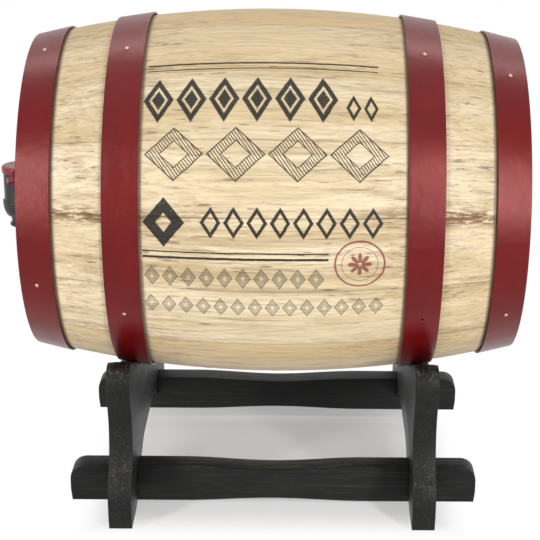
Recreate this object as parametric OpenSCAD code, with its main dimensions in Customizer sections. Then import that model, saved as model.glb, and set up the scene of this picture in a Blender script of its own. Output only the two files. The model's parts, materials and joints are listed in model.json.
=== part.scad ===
// Stave cask dispenser on a low cradle. A liner bag lies inside, with its press tap in the front head.
// X runs along the cask with the tap at -X, Y runs across it, Z is up and zero is the table.

/* [Cask] */
// Length of the staves
cask_length = 398; // [370:1:430]
// Radius of the cask at the bilge, outside the staves
bilge_r = 154.5; // [150:0.5:159]
// Distance that the staves curve in from the bilge to their ends
bilge_rise = 24.5; // [20:0.5:29]
// Thickness of a stave
stave_t = 14; // [11:0.5:16]
// Gap between two staves
stave_gap = 0.1; // [0.05:0.05:0.4]
// Angle of the first stave joint above the near side
first_joint = 9; // [0:0.5:22]
// Height of the cask's lowest point above the table
cask_clear = 91.5; // [84:0.5:106]
// Distance from the middle of the cradle to the middle of the cask
cask_shift = 0.5; // [0:0.5:8]

/* [Stave ends] */
// Thickness of the thick ends of the staves
chime_t = 16; // [14:0.5:20]
// Length of the thick ends of the staves
chime_length = 39; // [37:1:50]
// Bevel on the inner edge of the stave ends
chime_bevel = 4; // [2:0.5:6]
// Length of the slope from the thick end to the hollow
chime_slope = 10; // [6:1:16]
// Depth of each head below the end of the staves
head_depth = 22; // [18:0.5:24]
// Depth of the croze, the groove that holds the front head
croze_depth = 4; // [2.5:0.5:5]
// Width of the croze
croze_w = 6; // [4:0.5:8]
// Depth of the rebate that the rear head seats in
rebate_depth = 5.5; // [4:0.5:7]

/* [Hoops] */
// Thickness of the hoop strap
hoop_t = 1.6; // [1.2:0.1:2.6]
// Width of a head hoop
head_hoop_w = 27.2; // [22:0.2:32]
// Width of a quarter hoop
quarter_hoop_w = 28.6; // [24:0.2:34]
// Distance that a head hoop stands out past the staves
hoop_overhang = 1; // [0:0.5:2]
// Distance from the end of the staves to a quarter hoop's outer edge
quarter_hoop_inset = 67; // [60:0.2:74]
// Gap between wood and head hoop at the edge nearer the head
head_hoop_snug = 0.15; // [0.15:0.05:0.4]
// Gap between wood and head hoop at the edge nearer the bilge
head_hoop_gap = 0.6; // [0.15:0.05:1]
// Gap between wood and quarter hoop at the edge nearer the head
quarter_hoop_snug = 0.8; // [0.15:0.05:1]
// Gap between wood and quarter hoop at the edge nearer the bilge
quarter_hoop_gap = 1.2; // [0.3:0.1:2]
// Length of the strap's lap, as an angle
lap_angle = 20; // [14:1:30]
// Width that the upper strap loses at each edge of the lap
lap_trim = 0.25; // [0.1:0.05:1]

/* [Nails and rivets] */
// Radius of a nail's head
nail_head_r = 1.6; // [1.5:0.1:2.4]
// Radius of a nail's shank
nail_r = 0.9; // [0.6:0.1:1.2]
// Radius of the holes that are punched in the straps for nails
punched_r = 1.3; // [1.25:0.05:1.4]
// Length of a nail's shank
nail_length = 10; // [7:0.5:11]
// Angle of the first nail on each hoop, front to rear
nail_angles = [72.5, 65.5, 64, 60.5];
// Radius of a rivet's head
rivet_head_r = 3.2; // [2.6:0.1:4]
// Radius of a rivet's shank
rivet_r = 1.6; // [1.2:0.1:2]
// Clearance round nails, screws and rivets
fastener_clearance = 0.05; // [0.02:0.01:0.15]

/* [Heads] */
// Thickness of the head boards
head_t = 14; // [12:0.5:16]
// Width of the centre board of each head
centre_board_w = 84; // [76:1:100]
// Gap between two head boards
board_gap = 0.15; // [0.05:0.05:0.4]
// Clearance of each head in its seat
head_clearance = 0.3; // [0.2:0.05:0.6]
// Radius of the dowels between head boards
dowel_r = 3; // [2:0.5:4]
// Length of the dowels
dowel_length = 24; // [16:1:30]
// Distance of the dowels from the middle of the head
dowel_z = 52; // [40:1:60]
// Radius of the finger hole in the rear head
finger_hole_r = 12.5; // [10:0.5:15]
// Distance from the middle of the finger hole to the rear head's edge
finger_hole_inset = 35.2; // [30:0.2:38]
// Width of a batten
batten_w = 22; // [16:1:28]
// Thickness of a batten
batten_t = 10; // [8:0.5:14]
// Distance from the finger hole down to the upper batten
batten_drop = 8.5; // [5:0.5:16]
// Radius of a wood screw
screw_r = 1.75; // [1.25:0.25:2.25]

/* [Tap] */
// Drop of the tap's bore below the cask's axis
tap_drop = 4; // [0:1:8]
// Distance from the front head to the tap's upright
tap_reach = 43.9; // [40:0.1:50]
// Radius of the tap's upright
tap_r = 13; // [12:0.25:14]
// Height of the upright above the tap's bore
tap_top = 19.3; // [18.5:0.1:22]
// Radius of the tap's inlet barrel
barrel_r = 11; // [10:0.25:12]
// Radius of the inlet's bore
inlet_r = 6; // [5:0.25:6.5]
// Distance that the collar stands out past the upright
collar_lip = 1.5; // [0.5:0.25:3]
// Radius of the flange that butts against the bag spout
stop_flange_r = 15; // [13:0.25:16]
// Thickness of that flange
stop_flange_t = 2.8; // [2:0.2:4]
// Distance from the tap's bore down to the collar
collar_drop = 7.4; // [5:0.1:9]
// Distance from the tap's bore down to the top of the spout
shoulder_drop = 20.4; // [18:0.1:23]
// Distance from the tap's bore down to the spout's mouth
spout_drop = 28.8; // [26:0.1:34]
// Outer radius of the spout
spout_r = 8; // [7.5:0.25:9]
// Inner radius of the spout
spout_bore_r = 6.5; // [6:0.1:7]
// Radius of the bead round the spout's mouth
bead_r = 1.6; // [1:0.1:2]
// Radius of the valve's seat
seat_r = 4; // [3.5:0.1:4.5]
// Depth that the tap's barrel reaches into the bag spout
barrel_reach = 19; // [14:0.5:20]

/* [Button and valve] */
// Distance that the push button stands out past the upright
button_lip = 1.2; // [0.9:0.1:3]
// Height of the push button
button_h = 5.5; // [5.5:0.25:8]
// Travel of the push button
button_travel = 4; // [3:0.25:4.5]
// Radius of the valve stem
stem_r = 2; // [1.5:0.1:2.5]
// Running clearance of the stem and the button
run_clearance = 0.1; // [0.05:0.05:0.2]
// Thickness of the valve seal
seal_t = 2; // [1.5:0.1:2.5]
// Radius of the valve seal
seal_r = 5.4; // [5:0.1:5.8]
// Radius of the return spring's coil
spring_r = 6; // [5.3:0.1:8]
// Thickness of the spring's wire
spring_wire = 0.9; // [0.6:0.1:1.2]
// Number of turns of the spring
spring_turns = 4; // [3:1:5]
// Span of the finger wing from tip to tip
wing_span = 52; // [46:1:60]
// Width of the finger wing at its tips
wing_w = 12.8; // [10:0.2:16]
// Width of the finger wing at its root
wing_root_w = 9; // [6:0.5:12]
// Radius of the wing's upward curve
wing_bend_r = 42; // [36:1:90]

/* [Bag and spout] */
// Outer radius of the bag spout's neck
neck_r = 16; // [15:0.25:18]
// Clearance between the tap's barrel and the bag spout's neck
barrel_clearance = 0.3; // [0.2:0.05:0.5]
// Distance that the neck stands out of the head
neck_reach = 5; // [4.5:0.25:7]
// Radius of the bag spout's flange
flange_r = 24; // [21:0.5:28]
// Thickness of the bag spout's flange
flange_t = 2; // [1.5:0.25:3]
// Outer radius of the lock ring
lock_r = 22; // [20:0.5:25]
// Thickness of the lock ring
lock_t = 2.5; // [1.5:0.25:3]
// Height of the full bag's crown above the cask's axis
bag_top = 30; // [20:1:34]
// Gap round the bag
bag_gap = 0.4; // [0.3:0.05:0.8]

/* [Cradle] */
// Distance that a rail reaches past the middle of a cross board
rail_reach = 47.3; // [36:0.1:64]
// Distance between the outer faces of the rails
rail_span = 203; // [190:1:216]
// Thickness of a rail
rail_t = 19.5; // [16:0.5:22]
// Height of the rails' underside above the table
rail_z = 1; // [0.5:0.25:3]
// Height of a rail
rail_h = 32; // [28:0.5:36]
// Radius of the rails' upper corners
rail_corner_r = 12; // [8:0.5:16]
// Dip of a rail's top edge in its middle
rail_dip = 3.4; // [1:0.1:5]
// Rise of a rail's bottom edge in its middle
rail_rise = 2.6; // [1:0.1:4]
// Half length of the dip and the rise
rail_dip_length = 78; // [60:1:90]
// Distance of a cross board's middle past the middle of a quarter hoop, with the cask in mid-cradle
board_offset = 6.8; // [0:0.1:9]
// Thickness of a cross board
board_t = 19; // [16:0.5:22]
// Distance of the feet's outer faces inside the cask's widest part
foot_inset = 3; // [-3:0.5:8]
// Distance of a cross board's waist inside the cask's widest part
waist_inset = 25.5; // [20:0.5:30]
// Height of the waist
waist_z = 80; // [72:1:88]
// Radius of the waist's curve
waist_r = 60; // [52:1:80]
// Half width of the part of the board that the cask lies in
saddle_y = 75; // [60:1:84]
// Height of the horns
horn_z = 136; // [130:1:142]
// Radius of a horn's tip
horn_r = 15; // [10:1:18]
// Distance of the horns' outer faces inside the cask's widest part
horn_inset = 16.5; // [10:0.5:20]
// Height of the arch between the feet
arch_h = 34.5; // [28:0.5:40]
// Half width of the arch's level top
arch_top_y = 36; // [20:1:50]
// Half width of the arch at the table
arch_y = 122; // [112:1:130]
// Gap between the saddles and the hoops that lie in them
saddle_clearance = 0.3; // [0.3:0.05:0.6]
// Clearance in the laps of rails and cross boards
lap_clearance = 0.1; // [0.05:0.05:0.3]
// Length of a cradle screw
cradle_screw_length = 38; // [30:1:45]

/* [Hidden] */
STAVES = 16;
stave_angle = 360 / STAVES;
stave_names = [for (i = [1:STAVES]) str("stave_", i < 10 ? "0" : "", i)];

ROUND = 96;
SMALL = 48;
half_cask = cask_length / 2;
end_r = bilge_r - bilge_rise;
chime_r = end_r - chime_t;
axis_z = cask_clear + bilge_r;
quarter_hoop_x = half_cask - quarter_hoop_inset - quarter_hoop_w;
// Radius of the long arc that the staves bend along
bend_r = (half_cask ^ 2 + (bilge_r - end_r) ^ 2) / (2 * (bilge_r - end_r));
// Radius outside the staves at a distance x from the middle of the cask
function wood_r(x) = bilge_r - bend_r + sqrt(bend_r ^ 2 - x ^ 2);

// Each head's outer face, and the tap's own places, as distances from the middle of the cask
head_x = half_cask - head_depth;
tap_x = head_x + tap_reach;
tap_z = -tap_drop;
collar_r = tap_r + collar_lip;
button_r = tap_r + button_lip;
neck_bore_r = barrel_r + barrel_clearance;
// The cask stands off the middle of the box, because the tap reaches out further than the rear hoop
front_reach = tap_x + max(button_r, collar_r);
rear_reach = half_cask + hoop_overhang;
middle_x = (front_reach - rear_reach) / 2;
cradle_x = middle_x - cask_shift;

// Hoops, front to rear: [distance of the inner edge from the middle, width, gap at that edge, side,
// gap at the outer edge]
head_hoop_x = half_cask + hoop_overhang - head_hoop_w;
HOOPS = [
    [head_hoop_x, head_hoop_w, head_hoop_gap, -1, head_hoop_snug],
    [quarter_hoop_x, quarter_hoop_w, quarter_hoop_gap, -1, quarter_hoop_snug],
    [quarter_hoop_x, quarter_hoop_w, quarter_hoop_gap, 1, quarter_hoop_snug],
    [head_hoop_x, head_hoop_w, head_hoop_gap, 1, head_hoop_snug]];
// The quarter hoops have no nail where they lie in the saddles
NAIL_HOLES = [for (n = [0:3], k = [0:3]) if (k != 2 || n == 0 || n == 3) [n, k]];
EMPTY_NAIL_HOLE = [2, 3];
function on_wood_r(x) = wood_r(min(x, half_cask));
// Radius inside a hoop at its two edges and at a distance x from the middle of the cask
function inner_edge_r(h) = on_wood_r(h[0]) + h[2];
function outer_edge_r(h) = on_wood_r(h[0] + h[1]) + h[4];
function hoop_in_r(h, x) = inner_edge_r(h) + (outer_edge_r(h) - inner_edge_r(h)) * (x - h[0]) / h[1];
function hoop_mid_x(h) = h[0] + h[1] / 2;
// A strap leans in toward the head by this angle
function strap_lean(h) = atan((inner_edge_r(h) - outer_edge_r(h)) / h[1]);

// Moves a piece from the middle of the cask to its place
module in_cask() {
    translate([middle_x, 0, axis_z]) children();
}
// Turns a piece that stands along Z to lie along the cask, turned up from the near side by an angle
module along_x(angle = 0) {
    rotate([0, 90, 0]) rotate([0, 0, -90 - angle]) children();
}
// Stands a piece square on a strap with Z pointing out, at a distance x and an angle, lifted above its inside
module on_strap(h, x, angle, lift) {
    rotate([-angle, 0, 0]) translate([h[3] * x, -hoop_in_r(h, x) - lift, 0])
        rotate([90, 0, 0]) rotate([0, h[3] * strap_lean(h), 0]) children();
}

// ---- staves ----
ARC_STEPS = 28;
arc_in_x = half_cask - chime_length - chime_slope;
arc_x = [for (i = [0:ARC_STEPS]) -half_cask + cask_length * i / ARC_STEPS];
hollow_x = [for (i = [0:ARC_STEPS]) arc_in_x - 2 * arc_in_x * i / ARC_STEPS];
rebate_r = chime_r + rebate_depth;
thick_x = half_cask - chime_length;

module stave_section() {
    polygon(concat(
        [for (x = arc_x) [wood_r(x), x]],
        [[rebate_r + chime_bevel, half_cask], [rebate_r, half_cask - chime_bevel]],
        [[rebate_r, head_x - head_t], [chime_r, head_x - head_t], [chime_r, thick_x]],
        [for (x = hollow_x) [wood_r(x) - stave_t, x]],
        [[chime_r, -thick_x], [chime_r, -half_cask + chime_bevel], [chime_r + chime_bevel, -half_cask]]));
}

module croze_ring() {
    translate([0, 0, -head_x + head_t / 2 - croze_w / 2])
        difference() {
            cylinder(r = chime_r + croze_depth, h = croze_w, $fn = ROUND);
            translate([0, 0, -1]) cylinder(r = chime_r - croze_depth, h = croze_w + 2, $fn = ROUND);
        }
}

module stave(i) {
    from = first_joint + stave_angle * (i - 1);
    cut = stave_gap / 2 / bilge_r * 180 / PI;
    color("burlywood") in_cask() difference() {
        along_x(from + stave_angle - cut)
            rotate_extrude(angle = stave_angle - 2 * cut, $fn = ROUND) stave_section();
        along_x() croze_ring();
        for (hole = NAIL_HOLES) if (near_stave(nail_turn(hole), from))
            nail_hole(hole, nail_r + fastener_clearance);
    }
}
function nail_turn(hole) = nail_angles[hole[0]] + 90 * hole[1];
// True where an angle lies on the stave that starts at another angle, or within a degree of it
function near_stave(turn, from) = (turn - from + 721) % 360 < stave_angle + 2;

// ---- hoops, nails and rivets ----
module strap(h, low, high, angle, trim = 0) {
    a = h[0] + trim;
    b = h[0] + h[1] - trim;
    rotate_extrude(angle = angle, $fn = ROUND) polygon([
        [hoop_in_r(h, a) + low, h[3] * a],
        [hoop_in_r(h, a) + high, h[3] * a],
        [hoop_in_r(h, b) + high, h[3] * b],
        [hoop_in_r(h, b) + low, h[3] * b]]);
}

lap_turn = 180;
module hoop(n) {
    h = HOOPS[n];
    color("firebrick") in_cask() difference() {
        union() {
            along_x() strap(h, 0, hoop_t, 360);
            along_x(lap_turn + lap_angle / 2) strap(h, hoop_t / 2, 2 * hoop_t, lap_angle, lap_trim);
        }
        for (hole = NAIL_HOLES) if (hole[0] == n) nail_hole(hole, punched_r);
        for (s = [-1, 1]) rivet_place(h, s) translate([0, 0, -3 * hoop_t])
            cylinder(r = rivet_r + fastener_clearance, h = 6 * hoop_t, $fn = SMALL);
    }
}

// Nails stand on the middle line of the strap
module nail_place(hole) {
    h = HOOPS[hole[0]];
    on_strap(h, hoop_mid_x(h), nail_turn(hole), hoop_t) children();
}
module nail_hole(hole, r) {
    nail_place(hole) translate([0, 0, -nail_length - 1]) cylinder(r = r, h = nail_length + 5, $fn = SMALL);
}
// Heads stand this far above the strap
head_lift = 0.05;
nail_head_h = 0.9;
rivet_head_h = 1.5;
DOME_RINGS = 5;
// A shank with a domed head
module dome_pin(shank_r, length, head_r, head_h) {
    translate([0, 0, -length]) cylinder(r = shank_r, h = length + head_lift, $fn = SMALL);
    translate([0, 0, head_lift]) rotate_extrude($fn = SMALL) polygon(concat(
        [for (i = [0:DOME_RINGS]) let (a = 90 * i / DOME_RINGS)
            [head_r * cos(a), head_h * (0.25 + 0.75 * sin(a))]],
        [[0, 0], [head_r, 0]]));
}
module hoop_nails() {
    color("darkgoldenrod") in_cask()
        for (hole = NAIL_HOLES) if (hole != EMPTY_NAIL_HOLE)
            nail_place(hole) dome_pin(nail_r, nail_length, nail_head_r, nail_head_h);
}

module rivet_place(h, s) {
    on_strap(h, hoop_mid_x(h) + s * h[1] / 4, lap_turn, 2 * hoop_t) children();
}
module hoop_rivets() {
    color("gray") in_cask() for (h = HOOPS, s = [-1, 1])
        rivet_place(h, s) dome_pin(rivet_r, 2 * hoop_t, rivet_head_r, rivet_head_h);
}

// ---- heads ----
centre_half = centre_board_w / 2;
// The boards of a head, each from one distance y to another: centre, near, far
BOARD_SLICES = [
    [-centre_half, centre_half],
    [-bilge_r, -centre_half - board_gap],
    [centre_half + board_gap, bilge_r]];
module slice(n) {
    intersection() {
        children();
        translate([-cask_length, BOARD_SLICES[n][0], -bilge_r])
            cube([2 * cask_length, BOARD_SLICES[n][1] - BOARD_SLICES[n][0], 2 * bilge_r]);
    }
}

module dowel_places(x) {
    for (y = [-1, 1], z = [-1, 1])
        translate([x, y * (centre_half + board_gap / 2), z * dowel_z]) rotate([90, 0, 0]) children();
}
module dowel_holes(x) {
    dowel_places(x)
        cylinder(r = dowel_r + fastener_clearance, h = dowel_length + 0.4, center = true, $fn = SMALL);
}
module dowels(x) {
    color("tan") in_cask() dowel_places(x)
        cylinder(r = dowel_r, h = dowel_length, center = true, $fn = SMALL);
}

front_mid_x = -head_x + head_t / 2;
// The rear head seats on a shoulder in the staves
seat_gap = 0.2;
rear_face_x = head_x - head_t + seat_gap;
rear_head_r = rebate_r - head_clearance;
finger_hole_z = rear_head_r - finger_hole_inset;
batten_z = finger_hole_z - finger_hole_r - batten_drop - batten_w / 2;
rear_mid_x = rear_face_x + head_t / 2;
front_tongue_w = croze_w - 2 * head_clearance;

module front_head() {
    difference() {
        along_x() {
            translate([0, 0, -head_x]) cylinder(r = chime_r - head_clearance, h = head_t, $fn = ROUND);
            translate([0, 0, front_mid_x - front_tongue_w / 2])
                cylinder(r = chime_r + croze_depth - head_clearance, h = front_tongue_w, $fn = ROUND);
        }
        dowel_holes(front_mid_x);
        translate([-head_x - 1, 0, tap_z]) rotate([0, 90, 0])
            cylinder(r = neck_r + head_clearance, h = head_t + 2, $fn = ROUND);
    }
}
module front_head_board(n) {
    color("wheat") in_cask() slice(n) front_head();
}

screw_head_r = 2 * screw_r;
screw_head_h = screw_r;
batten_screw_length = batten_t + head_t - 4;
module screw(length) {
    cylinder(r1 = screw_head_r, r2 = screw_r, h = screw_head_h, $fn = SMALL);
    cylinder(r = screw_r, h = length, $fn = SMALL);
}
module screw_hole(length) {
    translate([0, 0, -0.01])
        cylinder(r1 = screw_head_r + fastener_clearance, r2 = screw_r + fastener_clearance,
            h = screw_head_h + 0.02, $fn = SMALL);
    translate([0, 0, -0.5]) cylinder(r = screw_r + fastener_clearance, h = length + 0.8, $fn = SMALL);
}
batten_back_x = rear_face_x - batten_t;
batten_screw_y = [-centre_half - 20, 0, centre_half + 20];
module batten_screw_places(sides) {
    for (z = sides, y = batten_screw_y)
        translate([batten_back_x, y, z * batten_z]) rotate([0, 90, 0]) children();
}
module rear_head() {
    difference() {
        translate([rear_face_x, 0, 0]) rotate([0, 90, 0])
            cylinder(r = rear_head_r, h = head_t, $fn = ROUND);
        dowel_holes(rear_mid_x);
        batten_screw_places([-1, 1]) screw_hole(batten_screw_length);
        translate([rear_face_x - 1, 0, finger_hole_z]) rotate([0, 90, 0])
            cylinder(r = finger_hole_r, h = head_t + 2, $fn = ROUND);
    }
}
module rear_head_board(n) {
    color("wheat") in_cask() slice(n) rear_head();
}
batten_clear = 4;
batten_half = sqrt((chime_r - batten_clear) ^ 2 - (batten_z + batten_w / 2) ^ 2);
module batten(side) {
    color("tan") in_cask() difference() {
        translate([batten_back_x, -batten_half, side * batten_z - batten_w / 2])
            cube([batten_t, 2 * batten_half, batten_w]);
        batten_screw_places([side]) screw_hole(batten_screw_length);
    }
}
module batten_screws() {
    color("silver") in_cask() batten_screw_places([-1, 1]) screw(batten_screw_length);
}

// ---- tap ----
// Everything on the tap is placed from the upright's axis, at the height of the inlet's bore
module in_tap() {
    in_cask() translate([-tap_x, 0, tap_z]) children();
}
wall = 2;
shelf_top = tap_top - 11;
shelf_t = 2;
chamber_r = tap_r - wall - 1;
seat_z = -shoulder_drop + 5;
seat_t = 2.5;
well_r = tap_r - wall;
neck_end = tap_reach - neck_reach;
barrel_end = neck_end + barrel_reach;
DOME_STEPS = 10;
dome_h = shoulder_drop - collar_drop;
dome_w = collar_r - spout_r;
dome_points = [for (i = [0:DOME_STEPS])
    let (a = 90 * i / DOME_STEPS)
    [spout_r + dome_w * cos(a), -collar_drop - dome_h * sin(a)]];
collar_h = 3;

module upright_section() {
    polygon(concat(
        [[0, tap_top], [tap_r, tap_top]],
        [[tap_r, -collar_drop + collar_h], [collar_r, -collar_drop + collar_h / 2]],
        dome_points,
        [[spout_r, -spout_drop], [0, -spout_drop]]));
}

module tap_body() {
    color("dimgray") in_tap() difference() {
        union() {
            rotate_extrude($fn = ROUND) upright_section();
            translate([0, 0, -spout_drop + bead_r]) rotate_extrude($fn = ROUND)
                translate([spout_r, 0]) circle(r = bead_r, $fn = SMALL);
            rotate([0, 90, 0]) cylinder(r = barrel_r, h = barrel_end, $fn = ROUND);
            translate([neck_end - stop_flange_t - 0.1, 0, 0]) rotate([0, 90, 0])
                cylinder(r = stop_flange_r, h = stop_flange_t, $fn = ROUND);
        }
        // spring well, hole for the stem, chamber, seat and spout
        translate([0, 0, shelf_top]) cylinder(r = well_r, h = tap_top - shelf_top + 1, $fn = ROUND);
        translate([0, 0, shelf_top - shelf_t - 1])
            cylinder(r = stem_r + run_clearance, h = shelf_t + 2, $fn = SMALL);
        translate([0, 0, seat_z]) cylinder(r = chamber_r, h = shelf_top - shelf_t - seat_z, $fn = ROUND);
        translate([0, 0, seat_z - seat_t - 1]) cylinder(r = seat_r, h = seat_t + 2, $fn = ROUND);
        translate([0, 0, -spout_drop - 1])
            cylinder(r = spout_bore_r, h = spout_drop + 1 + seat_z - seat_t, $fn = ROUND);
        // inlet
        rotate([0, 90, 0]) cylinder(r = inlet_r, h = barrel_end + 1, $fn = ROUND);
        o_ring_groove();
    }
}

o_ring_x = barrel_end - 6;
o_ring_r = 1.2;
o_ring_mid_r = neck_bore_r - o_ring_r - 0.05;
module o_ring_groove() {
    translate([o_ring_x - o_ring_r - 0.1, 0, 0]) rotate([0, 90, 0]) difference() {
        cylinder(r = barrel_r + 1, h = 2 * o_ring_r + 0.2, $fn = ROUND);
        translate([0, 0, -1])
            cylinder(r = o_ring_mid_r - o_ring_r - 0.05, h = 2 * o_ring_r + 2.2, $fn = ROUND);
    }
}
module tap_o_ring() {
    color("black") in_tap() translate([o_ring_x, 0, 0]) rotate([0, 90, 0]) rotate_extrude($fn = ROUND)
        translate([o_ring_mid_r, 0]) circle(r = o_ring_r, $fn = SMALL);
}

// The wing is a clip round the back of the upright, between the barrel and the button at its lowest
wing_top = tap_top - button_travel - 0.1;
wing_t = wing_top - barrel_r - 0.2;
clip_r = tap_r + 3;
arm_t = 0.9 * wing_t;
// The arms curve up about a line above the upright, and pass just under the edge of the pressed button
arm_mid_z = wing_top + sqrt((wing_bend_r - arm_t / 2) ^ 2 - button_r ^ 2);
tip_y = (wing_span - wing_w) / 2;
module finger_wing() {
    color("crimson") in_tap() difference() {
        union() {
            difference() {
                translate([0, 0, wing_top - wing_t]) cylinder(r = clip_r, h = wing_t, $fn = ROUND);
                translate([-clip_r - wing_root_w / 2, -clip_r, wing_top - wing_t - 1])
                    cube([clip_r, 2 * clip_r, wing_t + 2]);
            }
            for (s = [-1, 1]) wing_arm(s);
        }
        translate([0, 0, wing_top - wing_bend_r])
            cylinder(r = tap_r + fastener_clearance, h = 2 * wing_bend_r, $fn = ROUND);
    }
}
module wing_arm(s) {
    intersection() {
        translate([0, 0, arm_mid_z]) rotate([0, 90, 0]) difference() {
            cylinder(r = wing_bend_r + arm_t / 2, h = 2 * wing_w, center = true, $fn = 2 * ROUND);
            cylinder(r = wing_bend_r - arm_t / 2, h = 2 * wing_w + 2, center = true, $fn = 2 * ROUND);
        }
        translate([0, 0, wing_top - 2 * wing_t]) linear_extrude(wing_bend_r) {
            polygon([
                [-wing_root_w / 2, s * (tap_r - 2)], [wing_root_w / 2, s * (tap_r - 2)],
                [wing_w / 2, s * tip_y], [-wing_w / 2, s * tip_y]]);
            translate([0, s * tip_y]) circle(d = wing_w, $fn = SMALL);
        }
    }
}

// The button is a cap: its skirt slides over the upright, and its boss holds the stem
button_bottom = tap_top + 0.2;
button_top = button_bottom + button_h;
ceiling = button_bottom + button_travel;
skirt_in_r = tap_r + 0.3;
boss_r = stem_r + 2;
module push_button() {
    color("red") in_tap() difference() {
        union() {
            rotate_extrude($fn = ROUND) polygon([
                [0, ceiling], [skirt_in_r, ceiling], [skirt_in_r, button_bottom], [button_r, button_bottom],
                [button_r, button_top - 1.5], [button_r - 0.8, button_top - 0.5], [button_r - 3, button_top],
                [0, button_top - 0.3]]);
            translate([0, 0, button_bottom - 1]) cylinder(r = boss_r, h = button_travel + 1.5, $fn = SMALL);
        }
        translate([0, 0, button_bottom - 2]) cylinder(r = stem_r + fastener_clearance, h = 5, $fn = SMALL);
    }
}

seal_top = seat_z - seat_t - 0.1;
stem_top = button_bottom + 2.9;
stem_bottom = seal_top - seal_t - 0.8;
module valve_stem() {
    color("whitesmoke") in_tap() {
        translate([0, 0, stem_bottom]) cylinder(r = stem_r, h = stem_top - stem_bottom, $fn = SMALL);
        translate([0, 0, stem_bottom]) cylinder(r = stem_r + 1.2, h = 0.7, $fn = SMALL);
    }
}
module valve_seal() {
    color("black") in_tap() translate([0, 0, seal_top - seal_t]) difference() {
        cylinder(r = seal_r, h = seal_t, $fn = SMALL);
        translate([0, 0, -1]) cylinder(r = stem_r + fastener_clearance, h = seal_t + 2, $fn = SMALL);
    }
}
gland_t = 1.5;
module stem_gland() {
    color("black") in_tap() translate([0, 0, shelf_top + 0.05]) difference() {
        cylinder(r = well_r - 0.1, h = gland_t, $fn = ROUND);
        translate([0, 0, -1]) cylinder(r = stem_r + run_clearance, h = gland_t + 2, $fn = SMALL);
    }
}

// The spring stands on the gland and carries the button's ceiling, with a straight step at each end
spring_low = shelf_top + gland_t + 0.1 + spring_wire / 2;
spring_high = ceiling - 0.1 - spring_wire / 2;
RING_SIDES = 6;
SPRING_RINGS = 16;
spring_steps = spring_turns * SPRING_RINGS;
function spring_point(i) =
    let (a = 360 * i / SPRING_RINGS)
    [spring_r * cos(a), spring_r * sin(a), spring_low + (spring_high - spring_low) * i / spring_steps];
module return_spring() {
    rings = [for (i = [0:spring_steps]) let (a = 360 * i / SPRING_RINGS, c = spring_point(i))
        [for (k = [0:RING_SIDES - 1]) let (b = 360 * k / RING_SIDES)
            c + spring_wire / 2 * [cos(b) * cos(a), cos(b) * sin(a), sin(b)]]];
    last = spring_steps * RING_SIDES;
    color("silver") in_tap() polyhedron(
        points = [for (ring = rings, p = ring) p],
        faces = concat(
            [for (i = [0:spring_steps - 1], k = [0:RING_SIDES - 1])
                let (j = (k + 1) % RING_SIDES, a = i * RING_SIDES, b = a + RING_SIDES) [a + k, a + j, b + j]],
            [for (i = [0:spring_steps - 1], k = [0:RING_SIDES - 1])
                let (j = (k + 1) % RING_SIDES, a = i * RING_SIDES, b = a + RING_SIDES) [a + k, b + j, b + k]],
            [[for (k = [RING_SIDES - 1:-1:0]) k]],
            [[for (k = [0:RING_SIDES - 1]) last + k]]));
}

// ---- bag and its spout ----
// Both are placed from the front head's outer face, with Z pointing into the cask
module in_spout() {
    in_cask() translate([-head_x, 0, tap_z]) rotate([0, 90, 0]) children();
}
lock_groove_r = neck_r - 1.5;
module bag_spout() {
    color("white") in_spout() difference() {
        union() {
            translate([0, 0, -neck_reach])
                cylinder(r = neck_r, h = neck_reach + head_t + flange_t, $fn = ROUND);
            translate([0, 0, head_t + 0.1]) cylinder(r = flange_r, h = flange_t, $fn = ROUND);
        }
        translate([0, 0, -neck_reach - 1])
            cylinder(r = neck_bore_r, h = neck_reach + head_t + flange_t + 3, $fn = ROUND);
        translate([0, 0, -lock_t - 0.3]) difference() {
            cylinder(r = neck_r + 1, h = lock_t + 0.2, $fn = ROUND);
            translate([0, 0, -1]) cylinder(r = lock_groove_r, h = lock_t + 3, $fn = ROUND);
        }
    }
}
module lock_ring() {
    color("dimgray") in_spout() translate([0, 0, -lock_t - 0.2]) difference() {
        cylinder(r = lock_r, h = lock_t, $fn = ROUND);
        translate([0, 0, -1]) cylinder(r = lock_groove_r + 0.1, h = lock_t + 2, $fn = ROUND);
        translate([0, -lock_groove_r * 0.8, -1]) cube([lock_r + 1, 1.6 * lock_groove_r, lock_t + 2]);
    }
}

BAG_STEPS = 14;
bag_front_x = -head_x + head_t + flange_t + 0.1 + bag_gap;
bag_rear_x = batten_back_x - 12;
bag_side_x = arc_in_x - 8;
bag_x = [for (i = [0:BAG_STEPS]) -bag_side_x + 2 * bag_side_x * i / BAG_STEPS];
shoulder_r = chime_r - 6;
module liner_bag() {
    color("gainsboro") in_cask() intersection() {
        along_x() rotate_extrude($fn = ROUND) polygon(concat(
            [[0, bag_front_x], [shoulder_r - 8, bag_front_x], [shoulder_r, bag_front_x + 4]],
            [for (x = bag_x) [wood_r(x) - stave_t - bag_gap - 0.1, x]],
            [[shoulder_r, bag_rear_x], [0, bag_rear_x]]));
        // the crown of the full bag
        translate([0, 0, bag_top - 3 * bilge_r]) rotate([0, 90, 0])
            cylinder(r = 3 * bilge_r, h = 2 * cask_length, center = true, $fn = 2 * ROUND);
    }
}

// ---- cradle ----
board_x = quarter_hoop_x + quarter_hoop_w / 2 + board_offset;
rail_length = 2 * (board_x + rail_reach);
foot_y = bilge_r - foot_inset;
waist_y = bilge_r - waist_inset;
horn_y = bilge_r - horn_inset;
// X of each board's face that looks to the middle of the cradle, seen from the middle of the cask
front_board_x = board_x + cask_shift;
rear_board_x = board_x - cask_shift;
// The saddle clears the widest part of the quarter hoop that lies in it
function saddle_r(x) =
    let (inner = max(x - board_t / 2, quarter_hoop_x))
    hoop_in_r(HOOPS[1], inner) + hoop_t + saddle_clearance;

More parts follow.
